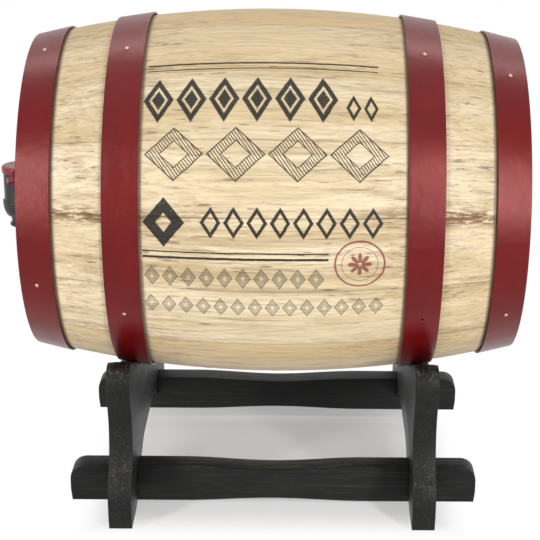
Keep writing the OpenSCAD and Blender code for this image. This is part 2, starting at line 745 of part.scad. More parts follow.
waist_mid_y = waist_y + waist_r;
function waist_at(z) = waist_mid_y - sqrt(waist_r ^ 2 - (z - waist_z) ^ 2);
horn_mid_y = horn_y - horn_r;
horn_mid_z = horn_z - horn_r;
waist_top_z = waist_z + sqrt(waist_r ^ 2 - (waist_mid_y - horn_y + 1.5) ^ 2);
foot_high_z = waist_z - sqrt(waist_r ^ 2 - (waist_mid_y - foot_y + 3) ^ 2);
ARCH_STEPS = 12;
WAIST_STEPS = 14;
SADDLE_STEPS = 24;
HORN_STEPS = 8;
function arch_at(y) = arch_h * (0.5 + 0.5 * cos(180 * (y - arch_top_y) / (arch_y - arch_top_y)));

function board_half(r) = let (edge = asin(saddle_y / r)) concat(
    [for (i = [0:SADDLE_STEPS]) let (a = edge * i / SADDLE_STEPS) [r * sin(a), axis_z - r * cos(a)]],
    [for (i = [0:HORN_STEPS]) let (a = 105 - 95 * i / HORN_STEPS)
        [horn_mid_y + horn_r * cos(a), horn_mid_z + horn_r * sin(a)]],
    [for (i = [0:WAIST_STEPS]) let (z = waist_top_z + (foot_high_z - waist_top_z) * i / WAIST_STEPS)
        [waist_at(z), z]],
    [[foot_y, foot_high_z - 10], [foot_y - 0.5, foot_high_z - 24], [foot_y - 2.5, 0]],
    [for (i = [0:ARCH_STEPS]) let (y = arch_y + (arch_top_y - arch_y) * i / ARCH_STEPS) [y, arch_at(y)]]);

rail_out = rail_span / 2;
rail_in = rail_out - rail_t;
lap_z = rail_z + rail_h / 2;
screw_y = rail_out - rail_t / 2;
module cradle_screw_places(sides, ends) {
    for (s = sides, e = ends)
        translate([cradle_x + e * board_x, s * screw_y, rail_z + screw_sink]) children();
}
screw_sink = 3;
module cradle_screw_hole() {
    screw_hole(cradle_screw_length);
    translate([0, 0, -screw_sink - 1])
        cylinder(r = screw_head_r + fastener_clearance, h = screw_sink + 1, $fn = SMALL);
}

module cross_board(end, r) {
    half = board_half(r);
    color("black") difference() {
        translate([cradle_x + end * board_x, 0, 0]) rotate([90, 0, 90])
            linear_extrude(board_t, center = true) polygon(concat(
                half,
                [for (i = [len(half) - 1:-1:1]) [-half[i][0], half[i][1]]]));
        for (s = [-1, 1])
            translate([cradle_x + end * board_x - board_t, s * screw_y - rail_t / 2 - lap_clearance, -1])
                cube([2 * board_t, rail_t + 2 * lap_clearance, lap_z + 1]);
        cradle_screw_places([-1, 1], [end]) cradle_screw_hole();
    }
}

RAIL_STEPS = 12;
function swell(x) = 0.5 + 0.5 * cos(180 * x / rail_dip_length);
rail_x = [for (i = [-RAIL_STEPS:RAIL_STEPS]) rail_dip_length * i / RAIL_STEPS];
// A rail's ends draw in by this much over this share of its height
rail_taper = 1;
rail_taper_share = 0.3;
rail_top = rail_z + rail_h;
// The middle of the quarter circle at a rail's end, and its points
rail_corner_x = rail_length / 2 - rail_corner_r;
rail_corner_z = rail_top - rail_corner_r;
rail_corner = [for (i = [0:6]) rail_corner_r * [cos(15 * i), sin(15 * i)]];
module rail_outline() {
    half = rail_length / 2;
    polygon(concat(
        [for (x = rail_x) [x, rail_z + rail_rise * swell(x)]],
        [[half - rail_taper, rail_z], [half, rail_z + rail_h * rail_taper_share]],
        [for (c = rail_corner) [rail_corner_x + c[0], rail_corner_z + c[1]]],
        [for (x = rail_x) [-x, rail_top - rail_dip * swell(x)]],
        [for (c = rail_corner) [-rail_corner_x - c[1], rail_corner_z + c[0]]],
        [[-half, rail_z + rail_h * rail_taper_share], [-half + rail_taper, rail_z]]));
}
module rail(side) {
    color("black") difference() {
        translate([cradle_x, side * screw_y, 0]) rotate([90, 0, 0])
            linear_extrude(rail_t, center = true) rail_outline();
        for (e = [-1, 1])
            translate([cradle_x + e * board_x, side * screw_y, lap_z - lap_clearance + rail_h / 2])
                cube([board_t + 2 * lap_clearance, 2 * rail_t, rail_h], center = true);
        cradle_screw_places([side], [-1, 1]) cradle_screw_hole();
    }
}
module cradle_screws() {
    color("gray") cradle_screw_places([-1, 1], [-1, 1]) screw(cradle_screw_length);
}

for (i = [1:STAVES]) stave(i);
hoop(0);  // front_head_hoop
hoop(1);  // front_quarter_hoop
hoop(2);  // rear_quarter_hoop
hoop(3);  // rear_head_hoop
hoop_nails();
hoop_rivets();
front_head_board(0);  // front_head_centre_board
front_head_board(1);  // front_head_near_board
front_head_board(2);  // front_head_far_board
dowels(front_mid_x);  // front_head_dowels
rear_head_board(0);  // rear_head_centre_board
rear_head_board(1);  // rear_head_near_board
rear_head_board(2);  // rear_head_far_board
dowels(rear_mid_x);  // rear_head_dowels
batten(1);  // upper_batten
batten(-1);  // lower_batten
batten_screws();
tap_body();
finger_wing();
push_button();
valve_stem();
valve_seal();
stem_gland();
return_spring();
bag_spout();
lock_ring();
tap_o_ring();
liner_bag();
cross_board(-1, saddle_r(front_board_x));  // front_cross_board
cross_board(1, saddle_r(rear_board_x));  // rear_cross_board
rail(-1);  // near_rail
rail(1);  // far_rail
cradle_screws();
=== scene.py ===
"""Finishes, soft pieces and stage for the stave cask dispenser, laid out as an add-on and run as a script."""
import json
import math

import bpy
from mathutils import Matrix, Vector


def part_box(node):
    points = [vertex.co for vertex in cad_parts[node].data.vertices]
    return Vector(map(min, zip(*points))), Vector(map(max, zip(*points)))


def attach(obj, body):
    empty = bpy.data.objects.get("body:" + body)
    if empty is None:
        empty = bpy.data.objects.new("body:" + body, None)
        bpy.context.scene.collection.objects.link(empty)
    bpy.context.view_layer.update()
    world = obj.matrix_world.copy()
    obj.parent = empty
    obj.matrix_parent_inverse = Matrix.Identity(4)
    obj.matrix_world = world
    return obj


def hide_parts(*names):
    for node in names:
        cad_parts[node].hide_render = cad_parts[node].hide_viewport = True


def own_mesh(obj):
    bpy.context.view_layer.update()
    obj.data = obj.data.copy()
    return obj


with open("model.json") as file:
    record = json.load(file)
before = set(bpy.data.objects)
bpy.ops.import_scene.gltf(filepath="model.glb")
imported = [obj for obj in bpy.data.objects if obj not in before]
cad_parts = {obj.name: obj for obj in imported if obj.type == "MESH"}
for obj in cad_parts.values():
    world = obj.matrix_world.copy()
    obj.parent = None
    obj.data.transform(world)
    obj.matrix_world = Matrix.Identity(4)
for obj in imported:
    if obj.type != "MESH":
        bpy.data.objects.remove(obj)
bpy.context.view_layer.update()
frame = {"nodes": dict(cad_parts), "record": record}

bl_info = {
    "name": "Cask dispenser",
    "version": (1, 0, 0),
    "blender": (4, 5, 0),
    "location": "3D View > Sidebar > Cask",
    "description": "Finishes and stage for a stave cask with a press tap on a cradle",
    "category": "Object",
}

MM = 0.001
STAVES = 16
STAVE_ANGLE = 360.0 / STAVES
FIRST_JOINT = 9.0


def middle(node):
    """The middle of a CAD node's box."""
    low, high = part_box(node)
    return (Vector(low) + Vector(high)) / 2


# The cask's axis: its middle along X from the head hoops, its height from the rear head
CASK_X = (middle("front_head_hoop").x + middle("rear_head_hoop").x) / 2
CASK_Z = middle("rear_head_centre_board").z
BILGE_R = max(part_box("stave_04")[1].z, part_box("stave_05")[1].z) - CASK_Z
CRADLE_X = (middle("front_cross_board").x + middle("rear_cross_board").x) / 2
# How far the bilge-side edge of each pair of hoops lies from the middle
QUARTER_EDGE = CASK_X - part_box("front_quarter_hoop")[1].x
HEAD_EDGE = CASK_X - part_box("front_head_hoop")[1].x


def srgb(red, green, blue):
    """A colour written from 0 to 255, as the shader wants it."""
    def linear(level):
        level /= 255
        return level / 12.92 if level <= 0.04045 else ((level + 0.055) / 1.055) ** 2.4
    return (linear(red), linear(green), linear(blue), 1.0)


# ---- shader maths ----

class Value:
    """A number from a node. Arithmetic on it adds Math nodes."""

    def __init__(self, finish, socket):
        self.finish = finish
        self.socket = socket

    def math(self, operation, *others, clamp=False):
        made = self.finish.node("ShaderNodeMath", {"operation": operation, "use_clamp": clamp},
                                dict(enumerate((self,) + others)))
        return Value(self.finish, made.outputs[0])

    def __add__(self, other):
        return self.math("ADD", other)

    __radd__ = __add__

    def __sub__(self, other):
        return self.math("SUBTRACT", other)

    def __rsub__(self, other):
        return self.finish.number(other).math("SUBTRACT", self)

    def __mul__(self, other):
        return self.math("MULTIPLY", other)

    __rmul__ = __mul__

    def __truediv__(self, other):
        return self.math("DIVIDE", other)

    def __neg__(self):
        return self * -1.0

    def __abs__(self):
        return self.math("ABSOLUTE")

    def clamped(self):
        return self.math("ADD", 0.0, clamp=True)

    def least(self, other):
        return self.math("MINIMUM", other)

    def most(self, other):
        return self.math("MAXIMUM", other)

    def ramp(self, low, high, out_low=0.0, out_high=1.0):
        """Goes smoothly from out_low at low to out_high at high."""
        made = self.finish.node("ShaderNodeMapRange", {"interpolation_type": "SMOOTHSTEP"},
                                {0: self, 1: low, 2: high, 3: out_low, 4: out_high})
        return Value(self.finish, made.outputs[0])

    def between(self, low, high, soft):
        """1 between low and high, with soft edges."""
        return ((self - low).least(high - self) / soft + 0.5).clamped()


class Finish:
    """A material while its nodes are added."""

    def __init__(self, name):
        self.material = bpy.data.materials.new(name)
        self.material.use_nodes = True
        self.tree = self.material.node_tree
        self.tree.nodes.clear()
        self.surface = self.node("ShaderNodeBsdfPrincipled")
        output = self.node("ShaderNodeOutputMaterial")
        self.tree.links.new(self.surface.outputs[0], output.inputs[0])
        place = self.node("ShaderNodeTexCoord").outputs["Object"]
        split = self.node("ShaderNodeSeparateXYZ", inputs={0: place})
        self.place = place
        self.x, self.y, self.z = (Value(self, out) for out in split.outputs)

    def node(self, kind, settings=None, inputs=None):
        """Adds a node, sets it, and gives its sockets values or links."""
        made = self.tree.nodes.new(kind)
        for name, setting in (settings or {}).items():
            setattr(made, name, setting)
        for name, fed in (inputs or {}).items():
            socket = made.inputs[name]
            if isinstance(fed, Value):
                fed = fed.socket
            if isinstance(fed, bpy.types.NodeSocket):
                self.tree.links.new(fed, socket)
            else:
                socket.default_value = fed
        return made

    def number(self, amount):
        made = self.node("ShaderNodeValue")
        made.outputs[0].default_value = amount
        return Value(self, made.outputs[0])

    def vector(self, x, y, z):
        return self.node("ShaderNodeCombineXYZ", inputs={0: x, 1: y, 2: z}).outputs[0]

    def noise(self, vector, scale=1.0, detail=3.0, roughness=0.55, distortion=0.0):
        made = self.node("ShaderNodeTexNoise", {"noise_dimensions": "3D"},
                         {"Vector": vector, "Scale": scale, "Detail": detail,
                          "Roughness": roughness, "Distortion": distortion})
        return Value(self, made.outputs[0])

    def blend(self, amount, first, second, mode="MIX"):
        """Mixes two colours."""
        made = self.node("ShaderNodeMix", {"data_type": "RGBA", "blend_type": mode, "clamp_factor": True},
                         {0: amount, 6: first, 7: second})
        return made.outputs[2]

    def edge(self, radius):
        """Rounded normals at sharp edges, and a mask of those edges."""
        round_normal = self.node("ShaderNodeBevel", {"samples": 6}, {"Radius": radius}).outputs[0]
        flat_normal = self.node("ShaderNodeNewGeometry").outputs["Normal"]
        dot = self.node("ShaderNodeVectorMath", {"operation": "DOT_PRODUCT"}, {0: round_normal, 1: flat_normal})
        return round_normal, (1 - Value(self, dot.outputs["Value"])).ramp(0.02, 0.35)

    def finish(self, color, roughness, height=None, depth=0.0003, strength=1.0, normal=None, **fixed):
        """Feeds the shader. Fixed values go straight on its own sockets."""
        if height is not None:
            inputs = {"Strength": strength, "Distance": depth, "Height": height}
            if normal is not None:
                inputs["Normal"] = normal
            normal = self.node("ShaderNodeBump", inputs=inputs).outputs[0]
        feeds = {"Base Color": color, "Roughness": roughness}
        if normal is not None:
            feeds["Normal"] = normal
        for name, fed in feeds.items():
            if isinstance(fed, Value):
                fed = fed.socket
            if isinstance(fed, bpy.types.NodeSocket):
                self.tree.links.new(fed, self.surface.inputs[name])
            else:
                self.surface.inputs[name].default_value = fed
        for name, amount in fixed.items():
            self.surface.inputs[name.replace("_", " ").title().replace("Ior", "IOR")].default_value = amount
        return self.material


# ---- finishes ----

def wood_grain(finish, along, across, depth, seed, streaks):
    """Fibres, strands, fine lines, tone, brown clouds, dark dashes and rings of a board. Places are in metres."""
    shift = seed * 1.37
    wave = finish.noise(finish.vector(along * 4 + shift, across * 14, depth * 14), 1.0, 2.0) - 0.5
    bent = across + wave * 0.009

    def stretched(long, wide, detail, roughness, place=0.0):
        return finish.noise(finish.vector(along * long + shift + place, bent * wide, depth * wide),
                            1.0, detail, roughness)

    fibres = stretched(85, 820, 2.0, 0.6)
    strands = stretched(10, 460, 3.0, 0.62, 3.1)
    tone = stretched(2.2, 34, 3.0, 0.6, 6.3)
    cloud = stretched(2.6, 105, 4.0, 0.62, 9.7)
    lines = stretched(6, 460, 3.0, 0.6, 1.9).ramp(0.59, 0.65) * cloud.ramp(0.40, 0.58)
    brown = cloud.ramp(0.56 - streaks * 0.08, 0.80 - streaks * 0.08)
    dashes = stretched(45, 560, 2.0, 0.5, 4.7).ramp(0.64, 0.71) * cloud.ramp(0.40, 0.56)
    rings = (stretched(2.6, 24, 1.0, 0.5, 12.3) * 20).math("FRACT").ramp(0.35, 0.96) * strands.ramp(0.25, 0.6)
    return fibres, strands, lines, tone, brown, dashes, rings


def board_colors(finish, grain, light, tan, streak, line):
    fibres, strands, lines, tone, brown, dashes, rings = grain
    color = finish.blend(tone.ramp(0.32, 0.68), light, tan)
    color = finish.blend(rings * 0.24, color, streak)
    color = finish.blend(strands.ramp(0.44, 0.70) * 0.26, color, streak)
    color = finish.blend(brown * 0.55, color, streak)
    color = finish.blend(lines * 0.62, color, line)
    color = finish.blend(dashes * 0.66, color, line)
    return finish.blend(fibres.ramp(0.46, 0.68) * 0.26, color, streak)


def lozenges(u, v, left, right, count, low, high):
    """Distance inside a row of lozenges, 0 in each middle and 1 on each edge, and the row's own window."""
    pitch = (right - left) / count
    cell = ((u - left) / pitch).math("FRACT") - 0.5
    middle_v = (low + high) / 2
    spread = abs(cell) * (pitch / (pitch / 2 - 0.9)) + abs(v - middle_v) / ((high - low) / 2)
    return spread, u.between(left, right, 0.2) * v.between(low - 1, high + 1, 0.2)


def hatching(u, v, pitch, share):
    """Slanted pen strokes."""
    stroke = ((u * 0.82 + v * 0.57) / pitch).math("FRACT")
    return (abs(stroke - 0.5) - share / 2).ramp(0.05, -0.05)


def printed_ornament(finish, u, v):
    """Masks of black ink, grey ink and red ink: rules, rows of lozenges and a rosette in two rings."""
    wobble = (finish.noise(finish.vector(u * 0.12, v * 0.12, 3.0), 1.0, 2.0) - 0.5) * 1.3
    u = u + wobble
    v = v - wobble * 0.6

    def rule(left, right, at, thick):
        return u.between(left, right, 0.3) * v.between(at - thick / 2, at + thick / 2, 0.35)

    black = rule(-99, 80, 153.7, 1.7).most(rule(-99, 80, 148.0, 1.1))
    black = black.most(rule(-100.6, 42.4, -3.8, 1.1)).most(rule(-100.6, 42.4, -8.6, 2.0))

    # solid lozenges with a bare line inside
    spread, window = lozenges(u, v, -102, 50, 6, 99, 139)
    solid = spread.between(0.62, 1.0, 0.08).most(spread.between(-1, 0.44, 0.08))
    black = black.most(solid * window)
    spread, window = lozenges(u, v, 54, 81, 2, 101, 124)
    black = black.most(spread.between(0.55, 1.0, 0.1) * window)

    # broad hatched frames
    spread, window = lozenges(u, v, -100, 89, 4, 52, 95)
    frame_lines = spread.between(0.94, 1.0, 0.03).most(spread.between(0.47, 0.52, 0.03))
    black = black.most((frame_lines.most(hatching(u, v, 2.2, 0.32) * spread.between(0.5, 0.96, 0.03))) * window)

    # one large lozenge, then bold open ones
    spread, window = lozenges(u, v, -101, -67, 1, 0, 40)
    black = black.most(spread.between(0.38, 1.0, 0.04) * window)
    spread, window = lozenges(u, v, -57, 85, 8, 8, 33)
    black = black.most(spread.between(0.62, 1.0, 0.08) * window)

    # two rows of small shaded lozenges
    spread, window = lozenges(u, v, -101, 40, 10, -34.2, -16.2)
    lines = spread.between(0.86, 1.0, 0.08)
    grey = (spread.between(0.3, 0.92, 0.06) * 0.55).most(lines) * window
    spread, window = lozenges(u, v, -102, 87, 14, -61.2, -43.5)
    lines = spread.between(0.86, 1.0, 0.08)
    grey = grey.most((spread.between(0.3, 0.92, 0.06) * 0.45).most(lines) * window)

    # a rosette in two rings
    across, up = u - 66.6, v + 12.7
    reach = (across * across + up * up).math("SQRT")
    turn = up.math("ARCTAN2", across)
    petals = abs((turn * 4.0).math("COSINE")) * 6.5 + 3.0
    red = reach.between(18.4, 19.9, 0.3).most(reach.between(13.9, 14.4, 0.3))
    red = red.most((petals - reach).ramp(-0.3, 0.3) * reach.ramp(1.6, 2.0))
    clear_round = 1 - reach.between(-1, 21.0, 0.4)
    black = black * clear_round
    grey = grey * clear_round
    return black, grey, red


# Staves as (share of the tan tone, warmth, streaks, brown stain along the joints). The tan share and warmth are
# partly each stave's own tone and partly painted shade: high on the top staves 4 and 5 and the bottom staves 12 and
# 13, low on the front staves 1, 15 and 16.
STAVE_LOOKS = {
    1: (0.20, 0.15, 1.3, 1.2), 2: (0.35, 0.20, 0.9, 0.3), 3: (0.85, 0.60, 0.5, 0.1), 4: (1.50, 1.05, 0.6, 0.1),
    5: (1.50, 1.10, 0.6, 0.1), 12: (1.6, 1.3, 0.6, 0.1), 13: (1.5, 1.3, 0.9, 0.3), 14: (0.90, 0.85, 0.7, 0.2),
    15: (0.20, 0.35, 1.1, 0.5), 16: (0.05, 0.10, 1.5, 1.3),
}


def mixed(first, second, share):
    return tuple(a + (b - a) * share for a, b in zip(first, second))


def stave_wood(index, woods):
    tone, warmth_and_shade, streaks, stained = STAVE_LOOKS.get(index, (0.38, 0.35, 0.6, 0.2))
    finish = Finish(f"stave_wood_{index:02d}")
    turn = math.radians(FIRST_JOINT + STAVE_ANGLE * (index - 0.5))
    up, near = finish.z - CASK_Z, -finish.y
    along = finish.x - CASK_X
    # angle from the middle of this stave
    angle = (up * math.cos(turn) - near * math.sin(turn)).math(
        "ARCTAN2", near * math.cos(turn) + up * math.sin(turn))
    reach = (up * up + near * near).math("SQRT")
    across = angle * BILGE_R
    grain = wood_grain(finish, along, across, reach, index, streaks)
    fibres, strands, lines, *_ = grain

    # the tan share and warmth darken the top and bottom staves, partly as painted shade over each stave's own tone
    light = mixed(tuple(woods.light) + (1,), srgb(234, 214, 176), warmth_and_shade)
    tan = mixed(tuple(woods.tan) + (1,), srgb(212, 184, 136), warmth_and_shade)
    light = mixed(light, tan, tone * 0.6)
    streak, line = tuple(woods.streak) + (1,), tuple(woods.line) + (1,)
    color = board_colors(finish, grain, light, tan, streak, line)

    # brown stain that has crept in along the joints, and the dark line of the joint
    half = math.radians(STAVE_ANGLE / 2) * BILGE_R
    from_joint = half - abs(across)
    # only the joint at FIRST_JOINT is stained, which is the lower edge of stave 1 and the upper edge of stave 16
    from_stain = {1: half + across, 16: half - across}.get(index, from_joint)
    patches = finish.noise(finish.vector(along * 9 + index, across * 30, reach * 30), 1.0, 3.0, 0.6)
    threads = finish.noise(finish.vector(along * 16 + index, across * 560, reach * 560), 1.0, 3.0, 0.65)
    crept = from_stain.ramp(0.012, 0.001) * patches.ramp(0.36, 0.54) * threads.ramp(0.42, 0.54)
    crept = crept * abs(along).ramp(0.07, 0.12, 0.35, 0.9)
    color = finish.blend((crept * stained).clamped(), color, srgb(122, 90, 54))
    seam = from_joint.ramp(0.0011, 0.0002) * 0.2
    seam = seam.most(from_stain.ramp(0.0012, 0.0002) * patches.ramp(0.3, 0.6, 0.1, min(stained, 1) * 0.8))
    color = finish.blend(seam, color, line)

    # painted shadow on the bilge side of each hoop, where the hoop's edge shades the wood
    beside = abs(along)
    # the band is painted shadow, darkest just inside each hoop's bilge-side edge
    hoop_shadow = beside.between(QUARTER_EDGE - 0.0022, QUARTER_EDGE + 0.01, 0.0024) * 0.7
    hoop_shadow = hoop_shadow.most(beside.between(HEAD_EDGE - 0.0028, HEAD_EDGE + 0.01, 0.0024) * 0.85)
    color = finish.blend(hoop_shadow, color, srgb(84, 68, 50))

    roughness = strands.ramp(0.2, 0.9, 0.40, 0.54)
    if index in (1, 2, 3, 15, 16):
        v = (angle + (turn if index < 9 else turn - 2 * math.pi)) * (BILGE_R / MM)
        black, grey, red = printed_ornament(finish, along / MM, v)
        worn = finish.noise(finish.vector(along * 700, across * 1300, 5.0), 1.0, 3.0, 0.7)
        worn = worn.ramp(0.26, 0.40) * (1 - strands.ramp(0.66, 0.9) * 0.6)
        color = finish.blend(black * worn * 0.97, color, srgb(9, 9, 10))
        color = finish.blend(grey * worn * 0.85, color, srgb(62, 60, 56))
        color = finish.blend(red * worn * 0.85, color, srgb(118, 40, 38))
    height = fibres * 0.4 + strands * 0.5 - lines * 0.3
    return finish.finish(color, roughness, height, 0.0002, 0.3, specular_ior_level=0.3)


def plain_board(name, woods, along_axis, seed):
    """Unfinished pale board with its grain along one axis."""
    finish = Finish(name)
    axes = {"X": (finish.x, finish.y, finish.z), "Y": (finish.y, finish.z, finish.x),
            "Z": (finish.z, finish.y, finish.x)}
    grain = wood_grain(finish, *axes[along_axis], seed, 0.5)
    color = board_colors(finish, grain, tuple(woods.light) + (1,), tuple(woods.tan) + (1,),
                         tuple(woods.streak) + (1,), tuple(woods.line) + (1,))
    fibres, strands, *_ = grain
    round_normal, edge = finish.edge(0.0009)
    color = finish.blend(edge * 0.7, color, tuple(woods.line) + (1,))
    return finish.finish(color, strands.ramp(0.2, 0.9, 0.5, 0.66), fibres * 0.6 + strands * 0.4, 0.0002, 0.4,
                         round_normal)


def hoop_paint(paint):
    """Dark red satin paint on strap: uneven as it was sprayed, grained when close, bare on the edges."""
    finish = Finish("hoop_paint")
    cloud = finish.noise(finish.place, 22.0, 3.0, 0.6)
    fine = finish.noise(finish.place, 380.0, 3.0, 0.65)
    speck = finish.noise(finish.place, 1500.0, 2.0, 0.6)
    color = finish.blend(cloud.ramp(0.3, 0.7), tuple(paint.color) + (1,), tuple(paint.shade) + (1,))
    color = finish.blend(fine.ramp(0.42, 0.75) * 0.10, color, srgb(128, 30, 32))
    color = finish.blend(fine.ramp(0.5, 0.25) * 0.2, color, srgb(70, 12, 18))
    round_normal, edge = finish.edge(0.0006)
    chip = edge * finish.noise(finish.place, 300.0, 3.0, 0.6).ramp(0.42, 0.58)
    color = finish.blend(chip * 0.7, color, srgb(60, 26, 26))
    roughness = (cloud * 0.14 + fine * 0.12 + (paint.roughness - 0.12)).clamped()
    height = cloud * 5.0 + fine * 0.3 + speck * 0.14
    return finish.finish(color, roughness, height, 0.0004, 0.45, round_normal, specular_ior_level=0.5,
                         specular_tint=(1.0, 0.44, 0.42, 1.0))


def worn_metal(name, color, stain, roughness):
    finish = Finish(name)
    spots = finish.noise(finish.place, 900.0, 3.0, 0.6)
    round_normal, _ = finish.edge(0.0003)
    tint = finish.blend(spots.ramp(0.4, 0.7) * 0.6, color, stain)
    return finish.finish(tint, spots.ramp(0.3, 0.8, roughness - 0.08, roughness + 0.12), spots, 0.0001, 0.3,
                         round_normal, metallic=1.0)


def moulded_plastic(name, color, shade, roughness, **fixed):
    """Plastic with faint mould texture and flow marks, a little paler on its sharp edges."""
    finish = Finish(name)
    flow = finish.noise(finish.place, 60.0, 2.0, 0.5)
    grain = finish.noise(finish.place, 2500.0, 2.0, 0.5)
    round_normal, edge = finish.edge(0.0005)
    tint = finish.blend(flow.ramp(0.3, 0.7), color, shade)
    tint = finish.blend(edge * 0.12, tint, srgb(150, 150, 150))
    return finish.finish(tint, flow.ramp(0.3, 0.7, roughness - 0.05, roughness + 0.06), grain, 0.00004, 0.3,
                         round_normal, **fixed)


def seal_rubber():
    finish = Finish("seal_rubber")
    dust = finish.noise(finish.place, 700.0, 3.0, 0.6)
    round_normal, _ = finish.edge(0.0003)
    color = finish.blend(dust.ramp(0.4, 0.8) * 0.5, srgb(24, 24, 25), srgb(62, 62, 64))
    return finish.finish(color, dust.ramp(0.2, 0.8, 0.6, 0.8), dust, 0.0001, 0.3, round_normal)


def stained_wood(name, stain, along_axis, seed):
    """Black stain on wood: the grain shows through, the edges have worn paler, and the grain on what faces up is
    paler, partly from wear and partly as painted light from above.
    """
    finish = Finish(name)
    along, across, depth = {"X": (finish.x, finish.y, finish.z), "Y": (finish.y, finish.x, finish.z)}[along_axis]
    across, depth = across + depth * 0.35, depth - across * 0.35
    fibres, strands, lines, tone, *_ = wood_grain(finish, along, across, depth, seed, 0.4)
    round_normal, edge = finish.edge(0.0012)
    up = finish.node("ShaderNodeSeparateXYZ", inputs={0: finish.node("ShaderNodeNewGeometry").outputs["Normal"]})
    # mask of faces that point up: their grain is painted paler, partly as wear and partly as painted light from above
    lit_and_worn_tops = Value(finish, up.outputs[2]).ramp(0.25, 0.85)
    color = finish.blend(tone.ramp(0.3, 0.7), tuple(stain.color) + (1,), tuple(stain.shade) + (1,))
    pale = tuple(stain.worn) + (1,)
    color = finish.blend(strands.ramp(0.5, 0.72) * (lit_and_worn_tops * 0.6 + 0.14), color, pale)
    color = finish.blend(fibres.ramp(0.5, 0.8) * (lit_and_worn_tops * 0.35 + 0.10), color, pale)
    scuffs = finish.noise(finish.vector(along * 60, across * 60, depth * 60), 1.0, 4.0, 0.65)
    color = finish.blend(edge * scuffs.ramp(0.45, 0.62) * stain.wear, color, srgb(104, 100, 92))
    height = strands * 0.7 + fibres * 0.5 - lines * 0.4
    return finish.finish(color, strands.ramp(0.3, 0.8, 0.46, 0.62), height, 0.0004, 0.5, round_normal,
                         specular_ior_level=0.22)


def bag_film():
    """Metallised film: soft silver with creases."""
    finish = Finish("bag_film")
    crease = finish.noise(finish.place, 45.0, 4.0, 0.6, 0.8)
    fine = finish.noise(finish.place, 220.0, 3.0, 0.6, 0.5)
    color = finish.blend(crease.ramp(0.35, 0.7), srgb(196, 198, 202), srgb(150, 153, 158))
    return finish.finish(color, crease.ramp(0.3, 0.7, 0.22, 0.36), crease + fine * 0.3, 0.004, 0.6, metallic=0.85)


# ---- modelling helpers ----

def deselect():
    if bpy.context.object and bpy.context.object.mode != "OBJECT":
        bpy.ops.object.mode_set(mode="OBJECT")
    bpy.ops.object.select_all(action="DESELECT")


def make_active(piece):
    deselect()
    piece.select_set(True)
    bpy.context.view_layer.objects.active = piece


def apply_modifier(piece, kind, **settings):
    make_active(piece)
    modifier = piece.modifiers.new(kind.title(), kind)
    for name, setting in settings.items():
        setattr(modifier, name, setting)
    bpy.ops.object.modifier_apply(modifier=modifier.name)


def copy_of_node(node, name, flat=1.0):
    """A new piece with the node's own mesh, merged into a closed surface. Faces within flat degrees join."""
    piece = bpy.data.objects.new(name, frame["nodes"][node].data.copy())
    bpy.context.scene.collection.objects.link(piece)
    make_active(piece)
    bpy.ops.object.mode_set(mode="EDIT")
    bpy.ops.mesh.select_all(action="SELECT")
    bpy.ops.mesh.remove_doubles(threshold=0.00001)
    bpy.ops.mesh.dissolve_limited(angle_limit=math.radians(flat))
    bpy.ops.object.mode_set(mode="OBJECT")
    return piece


def dress(piece, material):
    piece.data.materials.clear()
    piece.data.materials.append(material)


def paint_nodes(material, *nodes):
    """Gives CAD nodes a finish in place of their plain one."""
    for node in nodes:
        for slot in frame["nodes"][node].material_slots:
            slot.material = material


def body_of(node):
    """The name of the CAD body that a node belongs to."""
    for body, nodes in frame["record"]["behaviour"]["bodies"].items():
        if node in nodes:
            return body
    raise ValueError(f"no body holds {node}")


def travel_of(joint):
    """How far a sliding joint goes from rest, in metres."""
    for entry in frame["record"]["behaviour"]["joints"]:
        if entry["name"] == joint:
            return entry["range_m"][1]
    raise ValueError(f"no joint {joint}")


# ---- settings ----

def color_setting(name, description, rgb):
    return bpy.props.FloatVectorProperty(name=name, description=description, subtype="COLOR", size=3,
                                         min=0.0, max=1.0, default=srgb(*rgb)[:3])


class WoodSettings(bpy.types.PropertyGroup):
    light: color_setting("Light wood", "Palest tone of the staves", (232, 217, 188))
    tan: color_setting("Tan wood", "Darker tone of the staves", (207, 187, 149))
    streak: color_setting("Streaks", "Brown streaks along the grain", (156, 130, 94))
    line: color_setting("Lines", "Thin dark lines along the grain", (88, 66, 42))


class HoopSettings(bpy.types.PropertyGroup):
    color: color_setting("Paint", "Hoop paint", (98, 6, 10))
    shade: color_setting("Paint, darker", "Darker tone of the hoop paint", (86, 5, 8))
    roughness: bpy.props.FloatProperty(name="Roughness", description="Gloss of the hoop paint",
                                       default=0.32, min=0.1, max=1.0)


class CradleSettings(bpy.types.PropertyGroup):
    color: color_setting("Stain", "Black stain of the cradle", (11, 11, 11))
    shade: color_setting("Stain, thin", "Where the stain is thin", (17, 17, 16))
    # this colour also paints the grain on top faces paler, partly as painted light from above
    worn: color_setting("Worn stain", "High fibres where the stain has worn", (96, 92, 86))
    wear: bpy.props.FloatProperty(name="Edge wear", description="How much the edges have worn",
                                  default=0.55, min=0.0, max=1.0, subtype="FACTOR")
    edge: bpy.props.FloatProperty(name="Rounded edge", description="Radius of the rounded edges",
                                  default=1.6 * MM, min=0.2 * MM, max=4 * MM, unit="LENGTH")


class BagSettings(bpy.types.PropertyGroup):
    crease: bpy.props.FloatProperty(name="Creases", description="Depth of the creases in the film",
                                    default=4 * MM, min=0.0, max=8 * MM, unit="LENGTH")


